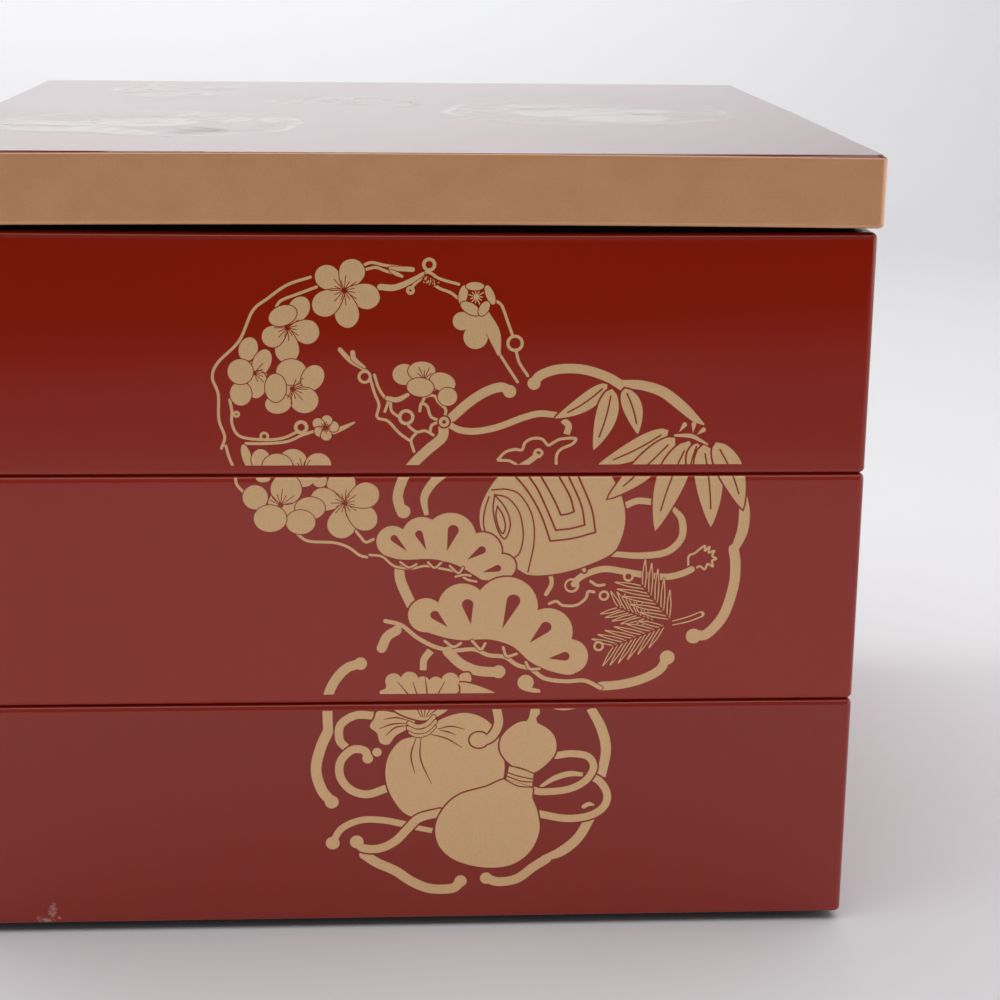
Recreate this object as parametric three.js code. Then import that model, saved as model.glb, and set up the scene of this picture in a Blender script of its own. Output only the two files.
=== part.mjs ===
// A square lacquer box of three stacked tiers under one lid, in millimetres, +Z up.
// The origin is at the middle of the underside, on the surface that the box stands on.
// Every tier is an open tray whose foot drops into the tray below, and the lid sits
// on the top rim by an inner ledge, so all four pieces simply lift off.
import * as THREE from "three";

// Tiers
const tierCount = 3;
const boxWidth = 195; // outer width and depth of a tier
const wallHeight = 50.2; // outer wall of one tier, without its foot
const wallThickness = 4.5;
const floorThickness = 3.2; // from the foot's underside to the floor inside
const footDrop = 2; // how far the foot reaches below the outer wall
const footBand = 9; // width of the band that touches the table
const footHollow = 0.8; // depth of the shallow hollow inside that band
const nestClearance = 0.5; // on each side, between a foot or rib and the opening it enters
const seatGap = 0.1; // film of lacquer and air between two stacked pieces

// Lid
const lidOverhang = 1; // how far the lid stands out past the tiers on each side
const lidHeight = 14.4; // its gold side, from lower edge to top
const lidPanel = 3.5; // thickness of the top board
const fingerGroove = 1.7; // open height between the lid's lower edge and the top rim
const grooveDepth = 3.2; // how far that groove runs in under the lid
const ribThickness = 3; // rib that keeps the lid centred in the top opening
const ribDrop = 2; // how far the rib reaches below the rim

// Rounded edges and corners
const cornerRadius = 1.6; // upright outer corners, seen from above
const rimRound = 1.4; // upper outer edge of a tier
const lowRound = 1; // lower outer edge of a tier
const lidTopRound = 1.2;
const lidLowRound = 0.9;
const innerCornerRadius = 4; // upright corners inside
const innerRimRound = 0.8;
const floorFillet = 2.5; // where the walls inside meet the floor
const footRound = 0.7;
const hollowRound = 0.4;
const roundSteps = 5; // facets in each rounded edge
const cornerDivisions = 3; // half the facets in each upright corner

const outerHalf = boxWidth / 2;
const innerHalf = outerHalf - wallThickness;
const footHalf = innerHalf - nestClearance;
const footCornerRadius = innerCornerRadius - nestClearance;
const hollowHalf = footHalf - footBand;
const rimHeight = footDrop + wallHeight;
const tierPitch = wallHeight + seatGap;
const lidHalf = outerHalf + lidOverhang;
const ribHalf = footHalf;
const lidCavityHalf = ribHalf - ribThickness;

const redLacquer = new THREE.MeshStandardMaterial({ color: 0x8a1f18, roughness: 0.18, metalness: 0 });
const bronzeLacquer = new THREE.MeshStandardMaterial({ color: 0xa47a50, roughness: 0.3, metalness: 0.55 });

// The outline of a piece in plan: a square with rounded corners.
function planOutline(half, radius) {
  const shape = new THREE.Shape();
  const reach = half - radius;
  shape.absarc(reach, reach, radius, 0, Math.PI / 2);
  shape.absarc(-reach, reach, radius, Math.PI / 2, Math.PI);
  shape.absarc(-reach, -reach, radius, Math.PI, Math.PI * 1.5);
  shape.absarc(reach, -reach, radius, Math.PI * 1.5, Math.PI * 2);
  return shape.getPoints(cornerDivisions);
}

// Turns the square corners of a section into rings. A corner with a round becomes a
// quarter circle, and the plan's corner radius follows as the outline is inset.
function sectionRings(corners) {
  const rings = [];
  corners.forEach((corner, index) => {
    if (!corner.round) {
      rings.push({ half: corner.half, z: corner.z, radius: corner.planRadius });
      return;
    }
    const here = new THREE.Vector2(corner.half, corner.z);
    const before = corners[index - 1];
    const after = corners[index + 1];
    const back = new THREE.Vector2(before.half, before.z).sub(here).normalize();
    const ahead = new THREE.Vector2(after.half, after.z).sub(here).normalize();
    for (let step = 0; step <= roundSteps; step++) {
      const turn = (step / roundSteps) * (Math.PI / 2);
      const point = here
        .clone()
        .addScaledVector(back, corner.round * (1 - Math.sin(turn)))
        .addScaledVector(ahead, corner.round * (1 - Math.cos(turn)));
      rings.push({ half: point.x, z: point.y, radius: corner.planRadius + point.x - corner.half });
    }
  });
  return rings;
}

// Carries a section round the square plan and closes it with a flat face at each end.
// The section runs from the middle of the underside, round the outside, to the middle
// of the face above, or of the floor inside.
function squareTurned(corners) {
  const rings = sectionRings(corners);
  const positions = [];
  const indices = [];
  let around = 0;
  for (const ring of rings) {
    const outline = planOutline(ring.half, ring.radius);
    around = outline.length;
    for (const point of outline) positions.push(point.x, point.y, ring.z);
  }
  for (let level = 0; level < rings.length - 1; level++) {
    for (let i = 0; i < around; i++) {
      const next = (i + 1) % around;
      const low = level * around;
      const high = low + around;
      indices.push(low + i, low + next, high + next);
      indices.push(low + i, high + next, high + i);
    }
  }
  const firstMiddle = positions.length / 3;
  positions.push(0, 0, rings[0].z);
  positions.push(0, 0, rings[rings.length - 1].z);
  const lastLevel = (rings.length - 1) * around;
  for (let i = 0; i < around; i++) {
    const next = (i + 1) % around;
    indices.push(firstMiddle, next, i);
    indices.push(firstMiddle + 1, lastLevel + i, lastLevel + next);
  }
  const geometry = new THREE.BufferGeometry();
  geometry.setAttribute("position", new THREE.Float32BufferAttribute(positions, 3));
  geometry.setIndex(indices);
  geometry.computeVertexNormals();
  return geometry;
}

// One tray. Its own zero height is the underside of its foot.
function tierGeometry() {
  const outside = { planRadius: cornerRadius };
  const foot = { planRadius: footCornerRadius };
  const inside = { planRadius: innerCornerRadius };
  return squareTurned([
    { half: hollowHalf - 2 * hollowRound, z: footHollow, ...foot },
    { half: hollowHalf, z: footHollow, round: hollowRound, ...foot },
    { half: hollowHalf, z: 0, ...foot },
    { half: footHalf, z: 0, round: footRound, ...foot },
    { half: footHalf, z: footDrop, ...foot },
    { half: outerHalf, z: footDrop, round: lowRound, ...outside },
    { half: outerHalf, z: rimHeight, round: rimRound, ...outside },
    { half: innerHalf, z: rimHeight, round: innerRimRound, ...inside },
    { half: innerHalf, z: floorThickness, round: floorFillet, ...inside },
    { half: innerHalf - 2 * floorFillet, z: floorThickness, ...inside },
  ]);
}

// The lid. Its own zero height is the ledge that rests on the top rim.
function lidGeometry() {
  const outside = { planRadius: cornerRadius };
  const rib = { planRadius: footCornerRadius };
  const top = fingerGroove + lidHeight;
  return squareTurned([
    { half: lidCavityHalf - 2 * floorFillet, z: top - lidPanel, ...rib },
    { half: lidCavityHalf, z: top - lidPanel, round: floorFillet, ...rib },
    { half: lidCavityHalf, z: -ribDrop, round: innerRimRound, ...rib },
    { half: ribHalf, z: -ribDrop, round: innerRimRound, ...rib },
    { half: ribHalf, z: 0, ...rib },
    { half: lidHalf - grooveDepth, z: 0, ...rib },
    { half: lidHalf - grooveDepth, z: fingerGroove, ...rib },
    { half: lidHalf, z: fingerGroove, round: lidLowRound, ...outside },
    { half: lidHalf, z: top, round: lidTopRound, ...outside },
    { half: lidHalf - 2 * lidTopRound, z: top, ...outside },
  ]);
}

// Tiers are named from the table up. With more than three, the middle ones are numbered.
function tierName(level) {
  if (level === tierCount - 1) return "top_tier";
  if (level === 0) return "bottom_tier";
  return tierCount === 3 ? "middle_tier" : `middle_tier_${level}`;
}

const box = new THREE.Group();

for (let level = 0; level < tierCount; level++) {
  const tier = new THREE.Mesh(tierGeometry(), redLacquer);
  tier.name = tierName(level);
  tier.position.z = level * tierPitch;
  box.add(tier);
}

const lid = new THREE.Mesh(lidGeometry(), bronzeLacquer);
lid.name = "lid";
lid.position.z = (tierCount - 1) * tierPitch + rimHeight + seatGap;
box.add(lid);

export default box;
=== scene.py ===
from math import asin, atan2, cos, degrees, hypot, pi, radians, sin

import bpy
import numpy as np
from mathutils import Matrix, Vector
from mathutils.geometry import delaunay_2d_cdt


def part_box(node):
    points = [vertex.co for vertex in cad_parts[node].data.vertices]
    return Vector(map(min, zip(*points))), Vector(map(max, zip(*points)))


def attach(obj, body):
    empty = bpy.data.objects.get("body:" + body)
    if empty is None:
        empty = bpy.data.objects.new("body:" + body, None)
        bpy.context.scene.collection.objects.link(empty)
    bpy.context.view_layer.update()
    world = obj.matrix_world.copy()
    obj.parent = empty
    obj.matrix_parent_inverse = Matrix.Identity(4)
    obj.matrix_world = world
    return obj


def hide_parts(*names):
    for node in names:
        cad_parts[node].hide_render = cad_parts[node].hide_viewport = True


# A square food box: three stacked trays under a lid, in red lacquer with a gold picture.
# Sizes are in millimetres in the frame's own axes, and the decorated front faces -Y.
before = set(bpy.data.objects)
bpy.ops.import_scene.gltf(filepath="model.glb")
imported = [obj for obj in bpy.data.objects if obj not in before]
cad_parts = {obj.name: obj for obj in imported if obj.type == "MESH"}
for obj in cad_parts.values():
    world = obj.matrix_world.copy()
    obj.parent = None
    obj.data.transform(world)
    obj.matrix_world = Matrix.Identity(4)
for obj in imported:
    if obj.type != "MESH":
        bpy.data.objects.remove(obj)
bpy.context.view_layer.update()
mm = 0.001
trayNodes = ["bottom_tier", "middle_tier", "top_tier"]


def nodeBox(node):
    low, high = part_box(node)
    return np.array(low) / mm, np.array(high) / mm


def meshPiece(name, vertices, faces, materials):
    mesh = bpy.data.meshes.new(name)
    mesh.from_pydata(vertices, [], faces)
    for material in materials:
        mesh.materials.append(material)
    piece = bpy.data.objects.new(name, mesh)
    bpy.context.scene.collection.objects.link(piece)
    return piece


# Materials

def linearColour(hexColour):
    channels = [int(hexColour[i:i + 2], 16) / 255 for i in (1, 3, 5)]
    return (*[c / 12.92 if c <= 0.04045 else ((c + 0.055) / 1.055) ** 2.4 for c in channels], 1.0)


def addNode(material, kind, inputs=None, **settings):
    node = material.node_tree.nodes.new(kind)
    for key, value in settings.items():
        setattr(node, key, value)
    for key, value in (inputs or {}).items():
        if isinstance(value, bpy.types.NodeSocket):
            material.node_tree.links.new(value, node.inputs[key])
        else:
            node.inputs[key].default_value = value
    return node


def newMaterial(name):
    material = bpy.data.materials.new(name)
    material.use_nodes = True
    material.node_tree.nodes.clear()
    return material


def finishMaterial(material, shaderInputs):
    shader = addNode(material, "ShaderNodeBsdfPrincipled", shaderInputs)
    addNode(material, "ShaderNodeOutputMaterial", {"Surface": shader.outputs["BSDF"]})
    return material


# Urethane lacquer, sprayed over moulded resin and polished: a deep, even colour under a
# glassy skin, which is very slightly wavy and carries a little dust.
lacquerLook = {
    "red": "#ab2711",
    "redDeep": "#a3230f",
    "bottomRedPaintedShade": "#9c220e",     # painted shade: the bottom tray is darker, for the weaker light low down near the floor
    # painted shade: the lid's top takes a darker copy of the same red, as it gets more light than the front
    "lidRedPaintedShade": "#68180b",
    "black": "#0d0b0a",
    "dust": "#a05a50",
    "tintSize": 55.0,       # patches of slightly deeper red
    "waveSize": 38.0,       # slow waves left by the mould
    "waveDepth": 0.012,
    "peelSize": 1.8,        # orange peel of the spray
    "peelDepth": 0.00025,
    "dustSpacing": 9.0,
    "dustSize": 0.16,       # radius of a dust speck
    "dustCore": 0.4,        # share of that radius where the speck is at its palest
    "dustShow": 0.5,        # how much of the dust's own colour shows there
    "roughness": (0.085, 0.12),
    "ior": 1.52,
}
usualNoise = (0.3, 0.7)     # between these lies most of a noise pattern


def lacquer(name, colour, deepColour, scuff=None):
    look = lacquerLook
    material = newMaterial(name)
    place = addNode(material, "ShaderNodeTexCoord").outputs["Object"]
    tint = addNode(material, "ShaderNodeTexNoise", {
        "Vector": place, "Scale": 1 / (look["tintSize"] * mm), "Detail": 2.0})
    body = addNode(material, "ShaderNodeMix", {
        "Factor": tint.outputs["Fac"], "A": linearColour(colour), "B": linearColour(deepColour)},
        data_type="RGBA")
    specks = addNode(material, "ShaderNodeTexVoronoi", {
        "Vector": place, "Scale": 1 / (look["dustSpacing"] * mm)})
    speckReach = look["dustSize"] / look["dustSpacing"]
    speckMask = addNode(material, "ShaderNodeMapRange", {
        "Value": specks.outputs["Distance"], "From Min": speckReach,
        "From Max": look["dustCore"] * speckReach, "To Max": look["dustShow"]})
    surface = addNode(material, "ShaderNodeMix", {
        "Factor": speckMask.outputs["Result"], "A": body.outputs["Result"],
        "B": linearColour(look["dust"])}, data_type="RGBA")
    if scuff:
        surface = scuffedColour(material, place, surface, scuff)
    wear = addNode(material, "ShaderNodeMapRange", {
        "Value": tint.outputs["Fac"], "From Min": usualNoise[0], "From Max": usualNoise[1],
        "To Min": look["roughness"][0], "To Max": look["roughness"][1]})
    waves = addNode(material, "ShaderNodeTexNoise", {
        "Vector": place, "Scale": 1 / (look["waveSize"] * mm), "Detail": 0.0})
    peel = addNode(material, "ShaderNodeTexNoise", {
        "Vector": place, "Scale": 1 / (look["peelSize"] * mm), "Detail": 1.0})
    slow = addNode(material, "ShaderNodeBump", {
        "Height": waves.outputs["Fac"], "Distance": look["waveDepth"] * mm})
    fine = addNode(material, "ShaderNodeBump", {
        "Height": peel.outputs["Fac"], "Distance": look["peelDepth"] * mm,
        "Normal": slow.outputs["Normal"]})
    return finishMaterial(material, {
        "Base Color": surface.outputs["Result"], "Roughness": wear.outputs["Result"],
        "IOR": look["ior"], "Normal": fine.outputs["Normal"]})


# A knock at the lower edge that has scraped the lacquer down to pale, dusty resin.
scuffLook = {
    # middle and reach of each spot: an upright one, a low one beside it, and a fleck
    "spots": [((-75.6, -97.5, 5.2), (1.9, 4.0, 3.5)), ((-77.2, -97.5, 3.0), (3.4, 4.0, 1.8)),
              ((-74.3, -97.5, 3.4), (0.9, 4.0, 0.8))],
    "grain": 0.8,
    "lift": (0.34, -0.16),  # added to the grain at the middle of a spot, and at its reach
    "bite": (0.58, 0.86),   # where that sum starts to show as a scrape, and is at its palest
    "show": 0.7,
    "colour": "#dcb0a6",
}


def scuffedColour(material, place, surface, scuff):
    nearest = 1.0
    for middle, reach in scuff["spots"]:
        offset = addNode(material, "ShaderNodeVectorMath", {
            0: place, 1: [c * mm for c in middle]}, operation="SUBTRACT")
        share = addNode(material, "ShaderNodeVectorMath", {
            0: offset.outputs["Vector"], 1: [c * mm for c in reach]}, operation="DIVIDE")
        distance = addNode(material, "ShaderNodeVectorMath", {
            0: share.outputs["Vector"]}, operation="LENGTH")
        nearest = addNode(material, "ShaderNodeMath", {
            0: nearest, 1: distance.outputs["Value"]}, operation="MINIMUM").outputs["Value"]
    grain = addNode(material, "ShaderNodeTexNoise", {
        "Vector": place, "Scale": 1 / (scuff["grain"] * mm), "Detail": 4.0, "Roughness": 0.6})
    near = addNode(material, "ShaderNodeMapRange", {
        "Value": nearest, "To Min": scuff["lift"][0], "To Max": scuff["lift"][1]})
    scraped = addNode(material, "ShaderNodeMath", {
        0: near.outputs["Result"], 1: grain.outputs["Fac"]}, operation="ADD")
    mask = addNode(material, "ShaderNodeMapRange", {
        "Value": scraped.outputs["Value"], "From Min": scuff["bite"][0],
        "From Max": scuff["bite"][1], "To Max": scuff["show"]})
    return addNode(material, "ShaderNodeMix", {
        "Factor": mask.outputs["Result"], "A": surface.outputs["Result"],
        "B": linearColour(scuff["colour"])}, data_type="RGBA")


# Metallic lacquer: bronze flake in a tinted lacquer with clear lacquer over it, sprayed.
# The flake gives a soft, faintly grainy sheen, and the clear coat a sharp thin highlight.
bronzeLook = {
    "bright": "#fabc8a",
    "dark": "#e4a473",
    "flakeSize": 0.45,      # real flake is far finer; this is as fine as shows
    "cloudSize": 9.0,       # slow unevenness of the spray
    "cloudShare": 0.5,
    "spread": (0.2, 0.8),   # the pattern's values that take the dark and the bright colour
    "flakeDepth": 0.0025,
    "metallic": 0.3,
    "roughness": 0.48,
    "coat": 0.6,
    "coatRoughness": 0.08,
}


def bronzeLacquer():
    look = bronzeLook
    material = newMaterial("bronze_flake_lacquer")
    place = addNode(material, "ShaderNodeTexCoord").outputs["Object"]
    flake = addNode(material, "ShaderNodeTexNoise", {
        "Vector": place, "Scale": 1 / (look["flakeSize"] * mm), "Detail": 3.0, "Roughness": 0.65})
    cloud = addNode(material, "ShaderNodeTexNoise", {
        "Vector": place, "Scale": 1 / (look["cloudSize"] * mm), "Detail": 2.0})
    both = addNode(material, "ShaderNodeMix", {
        "Factor": look["cloudShare"], "A": flake.outputs["Fac"], "B": cloud.outputs["Fac"]})
    spread = addNode(material, "ShaderNodeMapRange", {
        "Value": both.outputs["Result"], "From Min": look["spread"][0], "From Max": look["spread"][1]})
    colour = addNode(material, "ShaderNodeMix", {
        "Factor": spread.outputs["Result"], "A": linearColour(look["dark"]),
        "B": linearColour(look["bright"])}, data_type="RGBA")
    bump = addNode(material, "ShaderNodeBump", {
        "Height": flake.outputs["Fac"], "Distance": look["flakeDepth"] * mm})
    return finishMaterial(material, {
        "Base Color": colour.outputs["Result"], "Metallic": look["metallic"],
        "Roughness": look["roughness"], "Normal": bump.outputs["Normal"],
        "Coat Weight": look["coat"], "Coat Roughness": look["coatRoughness"]})


# Gold powder ink, screen-printed and fired on: a dry, pale, slightly grainy gold.
goldLook = {
    "front": ("#fdd29d", "#f0c18a"),
    "lid": ("#7c5a33", "#72522d"),      # painted shade: much darker than on the front, like the lid's red; under the lid's clear lacquer
    "grainSize": 0.35,
    "spread": (0.25, 0.75),
    "grainDepth": 0.002,
    "metallic": 0.25,
    "roughness": 0.48,
}


def goldInk(name, colours, coat):
    look = goldLook
    material = newMaterial(name)
    place = addNode(material, "ShaderNodeTexCoord").outputs["Object"]
    grain = addNode(material, "ShaderNodeTexNoise", {
        "Vector": place, "Scale": 1 / (look["grainSize"] * mm), "Detail": 3.0, "Roughness": 0.7})
    spread = addNode(material, "ShaderNodeMapRange", {
        "Value": grain.outputs["Fac"], "From Min": look["spread"][0], "From Max": look["spread"][1]})
    colour = addNode(material, "ShaderNodeMix", {
        "Factor": spread.outputs["Result"], "A": linearColour(colours[1]),
        "B": linearColour(colours[0])}, data_type="RGBA")
    bump = addNode(material, "ShaderNodeBump", {
        "Height": grain.outputs["Fac"], "Distance": look["grainDepth"] * mm})
    return finishMaterial(material, {
        "Base Color": colour.outputs["Result"], "Metallic": look["metallic"],
        "Roughness": look["roughness"], "Normal": bump.outputs["Normal"], "Coat Weight": coat,
        "Coat Roughness": lacquerLook["roughness"][0], "Coat IOR": lacquerLook["ior"]})


redLacquer = lacquer("polished_red_lacquer", lacquerLook["red"], lacquerLook["redDeep"])
# the bottom tray: a real scuff, on a red darkened as painted shade
scuffedShadedLacquer = lacquer("scuffed_red_lacquer_with_painted_shade", lacquerLook["bottomRedPaintedShade"], lacquerLook["bottomRedPaintedShade"],
                         scuffLook)
# the lid's red is darkened as painted shade
lidShadedLacquer = lacquer("red_lacquer_with_painted_shade", lacquerLook["lidRedPaintedShade"], lacquerLook["lidRedPaintedShade"])
blackLacquer = lacquer("polished_black_lacquer", lacquerLook["black"], lacquerLook["black"])
bronze = bronzeLacquer()
gold = goldInk("printed_gold_ink", goldLook["front"], coat=0.0)
# the lid's gold is darkened as painted shade
lidShadedGold = goldInk("gold_ink_with_painted_shade_under_clear_lacquer", goldLook["lid"], coat=1.0)
print("materials made")


# Trays and lid. Each is a section carried round a square with rounded corners.

roundSteps = 8      # facets of a rounded edge
planSteps = 8       # facets of an upright corner
sideSteps = 10      # stretches of a straight side, which let its edges bow


def planRing(half, radius):
    # the square's outline, and at each point the direction that faces out of it
    reach = half - radius
    ring = []
    for quarter, (sideX, sideY) in enumerate([(1, 1), (-1, 1), (-1, -1), (1, -1)]):
        for step in range(planSteps + 1):
            angle = (quarter + step / planSteps) * pi / 2
            ring.append((reach * sideX + radius * cos(angle), reach * sideY + radius * sin(angle),
                         cos(angle), sin(angle)))
        for step in range(1, sideSteps):
            along = reach * (1 - 2 * step / sideSteps)
            outX, outY = cos(angle), sin(angle)
            ring.append((half * outX + along * outY, half * outY - along * outX, outX, outY))
    return ring


def sectionOf(corners):
    # points along the section, and for each stretch its paint and the normal at both ends;
    # past its split, as a share of the quarter turn, a rounding has its own corner's paint
    spots = [np.array([corner["half"], corner["z"]]) for corner in corners]
    ways = [(b - a) / np.linalg.norm(b - a) for a, b in zip(spots, spots[1:])]
    normals = [np.array([way[1], -way[0]]) for way in ways]
    points, stretches = [], []
    for index, corner in enumerate(corners):
        rounding = corner.get("round")
        if rounding:
            into, out = ways[index - 1], ways[index]
            for step in range(roundSteps + 1):
                turn = step / roundSteps * pi / 2
                point = (spots[index] - into * rounding * (1 - sin(turn))
                         + out * rounding * (1 - cos(turn)))
                points.append((point[0], point[1], corner["plan"] + point[0] - corner["half"],
                               corner.get("droop", 0.0)))
                if step:
                    past = (step - 0.5) / roundSteps > corner.get("split", 0.0)
                    paint = corner["paint"] if past else corners[index - 1]["paint"]
                    faces = [normals[index - 1] * cos(t) + normals[index] * sin(t)
                             for t in (turn - pi / 2 / roundSteps, turn)]
                    stretches.append((paint, *faces))
        else:
            points.append((corner["half"], corner["z"], corner["plan"], corner.get("droop", 0.0)))
        if index < len(corners) - 1:
            stretches.append((corner["paint"], normals[index], normals[index]))
    return points, stretches


def turnedSquare(name, corners, paints):
    points, stretches = sectionOf(corners)
    rings = [planRing(half, radius) for half, z, radius, droop in points]
    around = len(rings[0])
    # droop is how far an edge sinks from the middle of a side to its corners
    vertices = [(x * mm, y * mm, (z - droop * (min(abs(x), abs(y)) / half) ** 2) * mm)
                for (half, z, radius, droop), ring in zip(points, rings) for x, y, dx, dy in ring]
    faces, facePaint, normals = [], [], []
    for level, (paint, lower, upper) in enumerate(stretches):
        for i in range(around):
            j = (i + 1) % around
            faces.append((level * around + i, level * around + j,
                          (level + 1) * around + j, (level + 1) * around + i))
            facePaint.append(paint)
            for k, normal in ((i, lower), (j, lower), (j, upper), (i, upper)):
                dx, dy = rings[level][k][2:]
                normals.append((normal[0] * dx, normal[0] * dy, normal[1]))
    last = (len(rings) - 1) * around
    faces.append(tuple(range(around - 1, -1, -1)))
    faces.append(tuple(range(last, last + around)))
    facePaint += [stretches[0][0], stretches[-1][0]]
    normals += [(0, 0, stretches[0][1][1])] * around + [(0, 0, stretches[-1][2][1])] * around
    slots = list(dict.fromkeys(facePaint))
    piece = meshPiece(name, vertices, faces, [paints[paint] for paint in slots])
    for polygon, paint in zip(piece.data.polygons, facePaint):
        polygon.use_smooth = True
        polygon.material_index = slots.index(paint)
    piece.data.normals_split_custom_set(normals)
    return piece


tray = {
    "wall": 4.5,
    "floor": 3.2,               # from the foot's underside to the floor inside
    "footDrop": 2.0,            # how far the foot reaches below the outer wall
    "footBand": 9.0,
    "footHollow": 0.8,
    "nestClearance": 0.5,       # between a foot and the opening that it enters
    "cornerRadius": 1.6,        # upright corners outside
    "innerCornerRadius": 4.0,
    "rimRound": 1.4,
    "lowRound": 1.0,
    "innerRimRound": 0.8,
    "redShare": 0.5,            # how far the red runs over that rounding before the black starts
    "floorFillet": 2.5,
    "footRound": 0.7,
    "hollowRound": 0.4,
}
lid = {
    "side": 14.4,               # height of the bronze side
    "panel": 3.5,               # thickness of the top board
    "grooveDepth": 3.2,         # finger groove under the lid
    "ribThickness": 3.0,
    "ribDrop": 2.0,
    "topRound": 0.45,
    "lowRound": 0.9,
    "bronzeShare": 0.5,         # how far the bronze climbs round the top edge
    "droop": 0.5,               # the side's edges are that much lower at the corners
}
rimRise = 0.4                   # and the top tray's rim is that much higher there

trayOuter = nodeBox("top_tier")[1][0]
trayInner = trayOuter - tray["wall"]
footHalf = trayInner - tray["nestClearance"]
footPlan = tray["innerCornerRadius"] - tray["nestClearance"]


def trayCorners(node):
    base, rim = nodeBox(node)[0][2], nodeBox(node)[1][2]
    hollow = footHalf - tray["footBand"]
    wallFoot = base + tray["footDrop"]
    inside = base + tray["floor"]
    rise = {"droop": -rimRise if node == "top_tier" else 0.0}
    foot = {"plan": footPlan, "paint": "black"}
    outside = {"plan": tray["cornerRadius"], "paint": "red"}
    inner = {"plan": tray["innerCornerRadius"], "paint": "black"}
    return [
        {"half": hollow - 2 * tray["hollowRound"], "z": base + tray["footHollow"], **foot},
        {"half": hollow, "z": base + tray["footHollow"], "round": tray["hollowRound"], **foot},
        {"half": hollow, "z": base, **foot},
        {"half": footHalf, "z": base, "round": tray["footRound"], **foot},
        {"half": footHalf, "z": wallFoot, **foot},
        {"half": trayOuter, "z": wallFoot, "round": tray["lowRound"], **outside},
        {"half": trayOuter, "z": rim, "round": tray["rimRound"], **outside, **rise},
        {"half": trayInner, "z": rim, "round": tray["innerRimRound"],
         "split": tray["redShare"], **inner, **rise},
        {"half": trayInner, "z": inside, "round": tray["floorFillet"], **inner},
        {"half": trayInner - 2 * tray["floorFillet"], "z": inside, **inner},
    ]


def lidCorners():
    low, high = nodeBox("lid")
    outer, top = high[0], high[2]
    skirt = top - lid["side"]
    ledge = low[2] + lid["ribDrop"]
    ceiling = top - lid["panel"]
    cavity = footHalf - lid["ribThickness"]
    under = {"plan": footPlan, "paint": "black"}
    outside = {"plan": tray["cornerRadius"], "droop": lid["droop"]}
    return [
        {"half": cavity - 2 * tray["floorFillet"], "z": ceiling, **under},
        {"half": cavity, "z": ceiling, "round": tray["floorFillet"], **under},
        {"half": cavity, "z": low[2], "round": tray["innerRimRound"], **under},
        {"half": footHalf, "z": low[2], "round": tray["innerRimRound"], **under},
        {"half": footHalf, "z": ledge, "droop": -rimRise, **under},
        # the finger groove is black lacquer like the rest of the underside, and its black also stands in
        # for the shade in the gap under the lid
        {"half": outer - lid["grooveDepth"], "z": ledge, "droop": -rimRise, **under},
        {"half": outer - lid["grooveDepth"], "z": skirt, "droop": lid["droop"], **under},
        {"half": outer, "z": skirt, "round": lid["lowRound"], "paint": "bronze", **outside},
        {"half": outer, "z": top, "round": lid["topRound"], "split": lid["bronzeShare"],
         "paint": "red", **outside},
        {"half": outer - 2 * lid["topRound"], "z": top, "plan": tray["cornerRadius"], "paint": "red"},
    ]


for node in trayNodes:
    # the bottom tray's red is darkened as painted shade, and scuffed
    reds = scuffedShadedLacquer if node == "bottom_tier" else redLacquer
    piece = turnedSquare("lacquer_" + node, trayCorners(node), {"red": reds, "black": blackLacquer})
    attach(piece, "root")
    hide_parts(node)
lidPiece = turnedSquare("lacquer_lid", lidCorners(),
                        {"red": lidShadedLacquer, "black": blackLacquer, "bronze": bronze})
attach(lidPiece, "root")
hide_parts("lid")
print("trays and lid made")


# Drawing. A picture is a list of outlines, gold or bare, and the last one laid shows.
# Places are (across, up) in millimetres, read from the front in the photo.

# points along each kind of outline, and along a line from one of its places to the next
drawSteps = {"line": 7, "oval": 30, "drop": 23, "petal": 25, "cap": 8, "leaf": 19}


def smooth(points, closed=False):
    spots = np.array(points, float)
    if closed:
        spots = np.vstack([spots[-1:], spots, spots[:2]])
    else:
        spots = np.vstack([2 * spots[0] - spots[1], spots, 2 * spots[-1] - spots[-2]])
    t = np.linspace(0, 1, drawSteps["line"], endpoint=False)[:, None]
    spans = [b + 0.5 * t * (c - a + t * (2 * a - 5 * b + 4 * c - d + t * (3 * (b - c) + d - a)))
             for a, b, c, d in zip(spots, spots[1:], spots[2:], spots[3:])]
    return np.vstack(spans if closed else spans + [spots[-2:-1]])


def turned(outline, x, z, angle):
    c, s = cos(radians(angle)), sin(radians(angle))
    return np.array(outline) @ np.array([[c, s], [-s, c]]) + (x, z)


def oval(x, z, long, wide=None, angle=0.0):
    around = np.linspace(0, 2 * pi, drawSteps["oval"], endpoint=False)
    outline = np.column_stack([long * np.cos(around), (wide or long) * np.sin(around)])
    return turned(outline, x, z, angle)


def headingOf(start, end):
    return degrees(atan2(end[1] - start[1], end[0] - start[0]))


def drop(tip, far, width):
    # pointed at the tip and round at the far end
    length = hypot(far[0] - tip[0], far[1] - tip[1])
    radius = width / 2
    middle = length - radius
    sweep = pi / 2 + asin(min(radius / middle, 0.85))      # a short, fat drop stays a drop
    arc = np.linspace(-sweep, sweep, drawSteps["drop"])
    end = np.column_stack([middle + radius * np.cos(arc), radius * np.sin(arc)])
    return turned(np.vstack([[0, 0], end]), *tip, headingOf(tip, far))


def petalShape(tip, far, width):
    # blunt at the tip, so that petals round one heart meet, and round at the far end
    length = hypot(far[0] - tip[0], far[1] - tip[1])
    t = (1 - np.cos(np.linspace(0, pi, drawSteps["petal"]))) / 2
    half = width / 2 * np.sin(pi * t ** 1.5) ** 0.5        # widest past the middle
    outline = np.vstack([np.column_stack([length * t, half]),
                         np.column_stack([length * t, -half])[-2:0:-1]])
    return turned(outline, *tip, headingOf(tip, far))


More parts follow.
